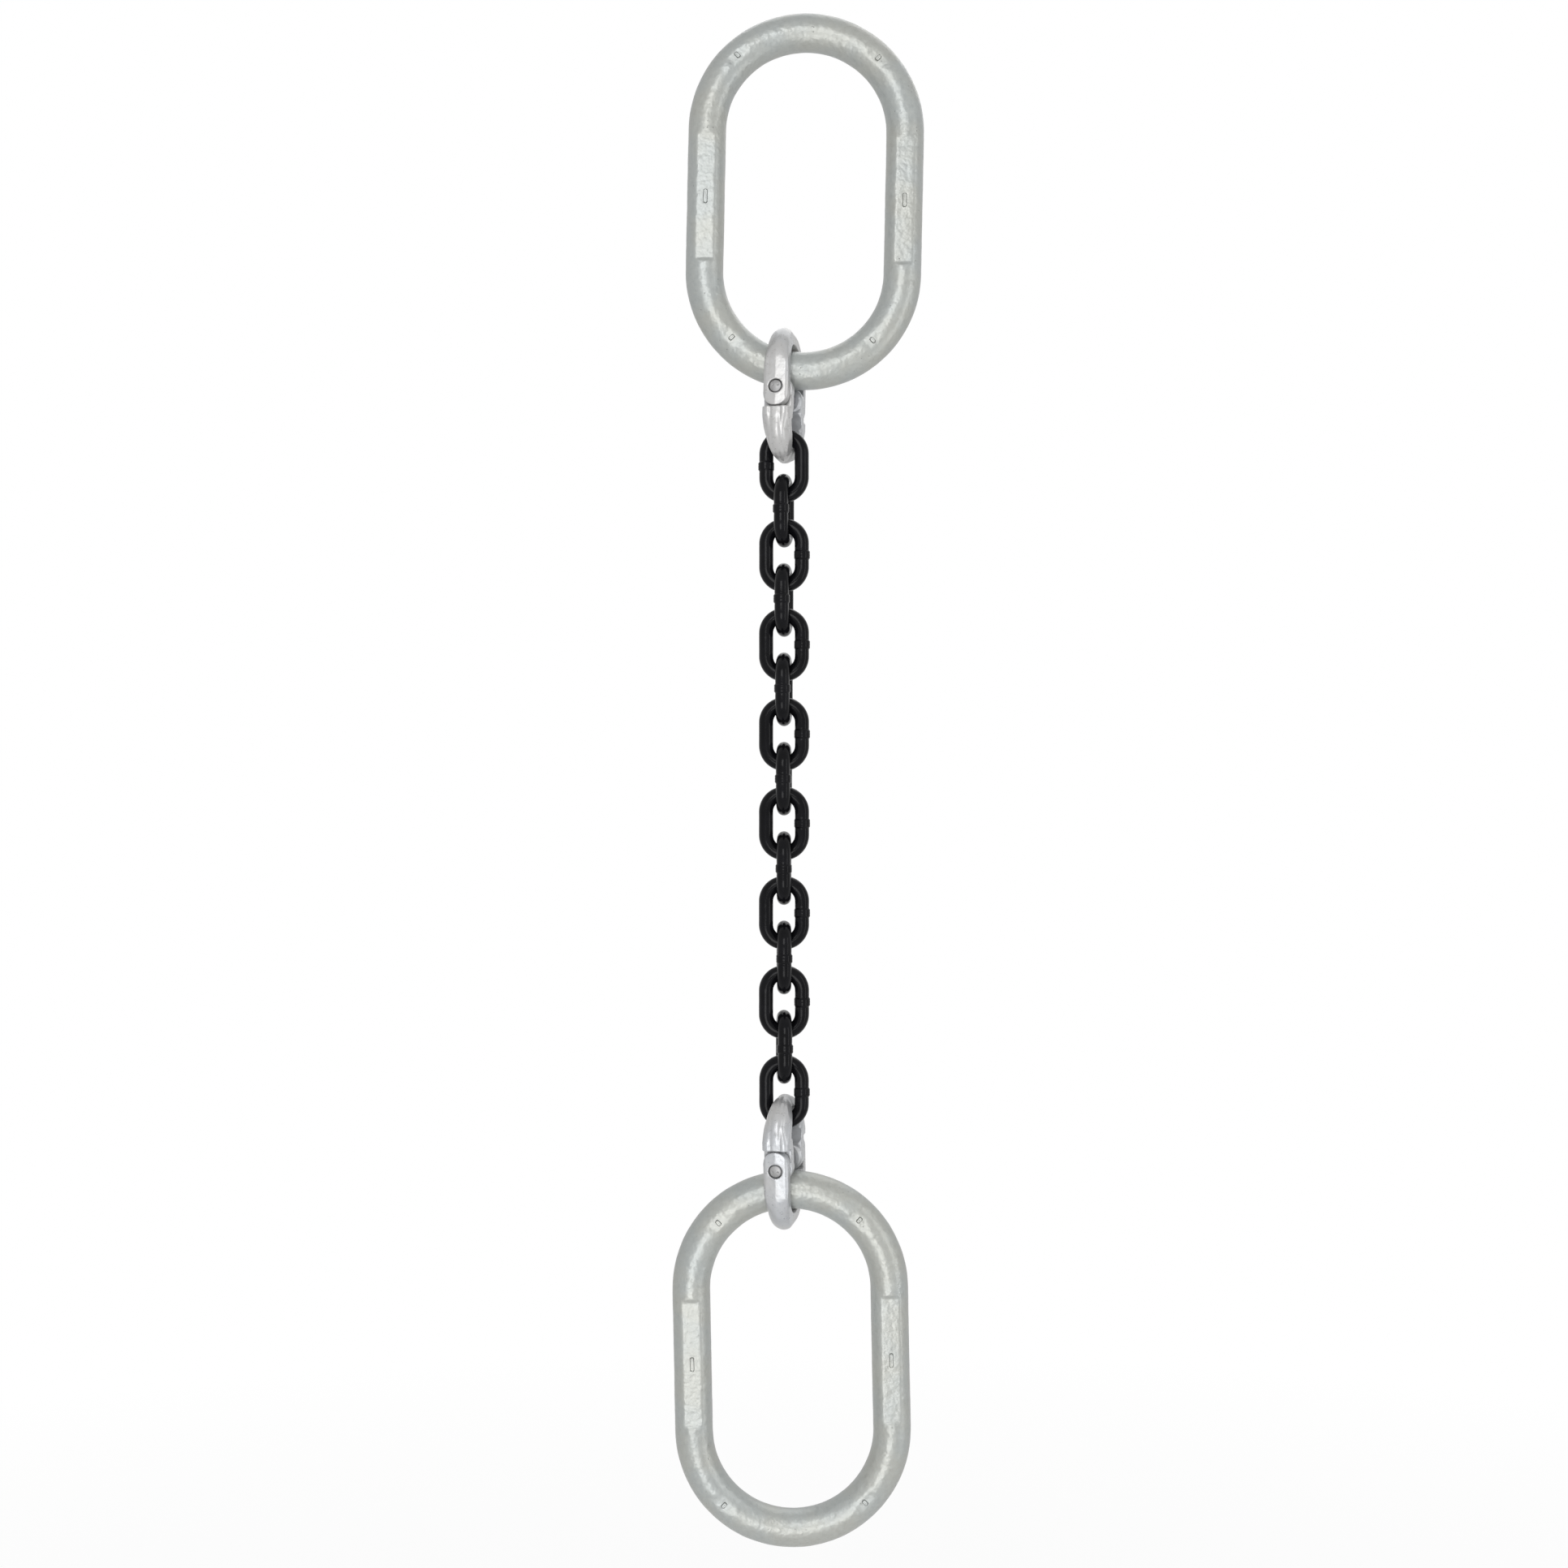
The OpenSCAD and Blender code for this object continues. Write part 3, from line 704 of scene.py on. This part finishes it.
class SLING_OT_chain(bpy.types.Operator):
    """Bends and welds the chain links"""
    bl_idname = "sling.chain"
    bl_label = "Chain links"

    def execute(self, context):
        p = context.scene.sling_chain
        paint = black_paint("satin black paint", tuple(context.scene.sling_finish.chain_black))
        count = sum(name.startswith("chain_link_") for name in frame["nodes"])
        for number in range(1, count + 1):
            place, side = link_place(number)
            bm = chain_link_mesh(p, side, seed=1.3 * number)
            bmesh.ops.transform(bm, matrix=place, verts=bm.verts)
            bmesh.ops.recalc_face_normals(bm, faces=bm.faces)
            new_piece(f"welded_link_{number:02d}", bm, paint, f"link_{number:02d}",
                      f"chain_link_{number:02d}")
        return {"FINISHED"}


class SLING_OT_couplings(bpy.types.Operator):
    """Forges the two halves of both couplings"""
    bl_idname = "sling.couplings"
    bl_label = "Coupling halves"

    def execute(self, context):
        p = context.scene.sling_coupling
        paint = forged_paint("light silver paint", tuple(context.scene.sling_finish.coupling_paint),
                             coarse=2.4 * MM, gloss=0.31, wear=0.2, lumpy=0.25)
        for index, end in enumerate(ENDS):
            place = coupling_place(end)
            for part, body in (("outer", "clevis"), ("inner", "bow")):
                node = f"{end}_coupling_{part}"
                bm = softened_copy(node, p, seed=2.0 + 7 * index)
                round_crown(bm, p, place, side=1 if part == "outer" else -1)
                # Inner halves get painted shade round the tongues' ends.
                if part == "inner":
                    painted_tongue_shade(bm, p, place)
                new_piece(f"{end}_{part}_forging", bm, paint, f"{end}_{body}", node)
        return {"FINISHED"}


class SLING_OT_pins(bpy.types.Operator):
    """Turns the load pins and finishes their sleeves"""
    bl_idname = "sling.pins"
    bl_label = "Load pins and sleeves"

    def execute(self, context):
        shades = context.scene.sling_finish
        pin = worn_steel("pin steel", tuple(shades.pin_steel), gloss=0.42)
        sleeve = worn_steel("sleeve steel", tuple(shades.sleeve_steel), gloss=0.42)
        for end in ENDS:
            bm = pin_mesh(context.scene.sling_pin)
            bmesh.ops.transform(bm, matrix=coupling_place(end), verts=bm.verts)
            bmesh.ops.recalc_face_normals(bm, faces=bm.faces)
            new_piece(f"{end}_turned_pin", bm, pin, f"{end}_clevis", f"{end}_load_pin")
            dress(f"{end}_sleeve", sleeve)
        return {"FINISHED"}


def area_light(name, spot, target, size, power):
    """A plain white panel of light that faces its target."""
    light = bpy.data.lights.new(name, "AREA")
    light.shape = "RECTANGLE"
    light.size, light.size_y = size
    light.energy = power
    lamp = new_object(name, light)
    lamp.location = spot
    lamp.rotation_euler = (Vector(target) - Vector(spot)).to_track_quat("-Z", "Y").to_euler()


class SLING_OT_stage(bpy.types.Operator):
    """Sets the floor, the light and the camera"""
    bl_idname = "sling.stage"
    bl_label = "Stage"

    def execute(self, context):
        p = context.scene.sling_stage
        low = Vector(CAD_BOX[0])
        bm = bmesh.new()
        bmesh.ops.create_grid(bm, x_segments=8, y_segments=8, size=6.0)
        bmesh.ops.translate(bm, verts=bm.verts, vec=(0, 0, low.z - p.floor_drop))
        floor = mesh_object("floor", bm)
        floor.data.materials.append(pale_floor("pale floor", tuple(context.scene.sling_finish.floor)))
        self.sky(context.scene, p)
        middle = (p.aim_x, 0, p.aim_z)
        for name, height in (("high key", 0.5), ("low key", -0.5)):
            area_light(name, spot=(-0.2, -1.35, p.aim_z + height), target=middle, size=(0.65, 0.65),
                       power=p.key)
        area_light("side", spot=(1.0, -0.6, p.aim_z), target=middle, size=(0.2, 1.3), power=p.side)
        area_light("back", spot=(0.3, 1.0, 1.0), target=middle, size=(1.6, 1.6), power=p.back)
        self.camera(context.scene, p)
        return {"FINISHED"}

    def sky(self, scene, p):
        """White where the camera sees it and a dimmer light on the sling."""
        scene.world = bpy.data.worlds.new("plain sky")
        nodes = Nodes(scene.world)
        level = nodes.add("ShaderNodeMapRange", {"clamp": True},
                          {"Value": nodes.seen(), "To Min": p.sky, "To Max": 1.0})
        nodes.end("ShaderNodeOutputWorld",
                  nodes.add("ShaderNodeBackground", {}, {"Color": (1.0, 1.0, 1.0, 1.0), "Strength": level}))

    def camera(self, scene, p):
        """A level camera that sees the sling as the photograph does."""
        view = bpy.data.cameras.new("camera")
        view.sensor_width = 36.0
        view.lens = view.sensor_width * p.distance / p.view_width
        view.clip_start = 0.02
        view.clip_end = 20.0
        camera = new_object("camera", view)
        camera.location = (p.aim_x, -p.distance, p.aim_z)
        camera.rotation_euler = (math.pi / 2, 0, 0)
        scene.camera = camera
        scene.view_settings.view_transform = "Standard"


class SLING_PT_panel(bpy.types.Panel):
    """Lists the pieces of the sling"""
    bl_label = "Chain sling"
    bl_idname = "SLING_PT_panel"
    bl_space_type = "VIEW_3D"
    bl_region_type = "UI"
    bl_category = "Chain sling"

    def draw(self, context):
        for operator in OPERATORS:
            self.layout.operator(operator.bl_idname)
        for name in GROUPS:
            group = getattr(context.scene, name)
            box = self.layout.box()
            for prop in group.bl_rna.properties:
                if prop.identifier not in ("rna_type", "name"):
                    box.prop(group, prop.identifier)


OPERATORS = (SLING_OT_stage, SLING_OT_master_links, SLING_OT_chain, SLING_OT_couplings, SLING_OT_pins)
GROUPS = {
    "sling_master": SLING_PG_master,
    "sling_chain": SLING_PG_chain,
    "sling_coupling": SLING_PG_coupling,
    "sling_pin": SLING_PG_pin,
    "sling_finish": SLING_PG_finish,
    "sling_stage": SLING_PG_stage,
}


def register():
    for name, group in GROUPS.items():
        bpy.utils.register_class(group)
        setattr(bpy.types.Scene, name, PointerProperty(type=group))
    for operator in OPERATORS:
        bpy.utils.register_class(operator)
    bpy.utils.register_class(SLING_PT_panel)


def unregister():
    bpy.utils.unregister_class(SLING_PT_panel)
    for operator in reversed(OPERATORS):
        bpy.utils.unregister_class(operator)
    for name, group in GROUPS.items():
        delattr(bpy.types.Scene, name)
        bpy.utils.unregister_class(group)


def main():
    """Builds the whole scene."""
    register()
    bpy.ops.sling.stage()
    bpy.ops.sling.master_links()
    bpy.ops.sling.chain()
    bpy.ops.sling.couplings()
    bpy.ops.sling.pins()


if __name__ == "__main__":
    main()
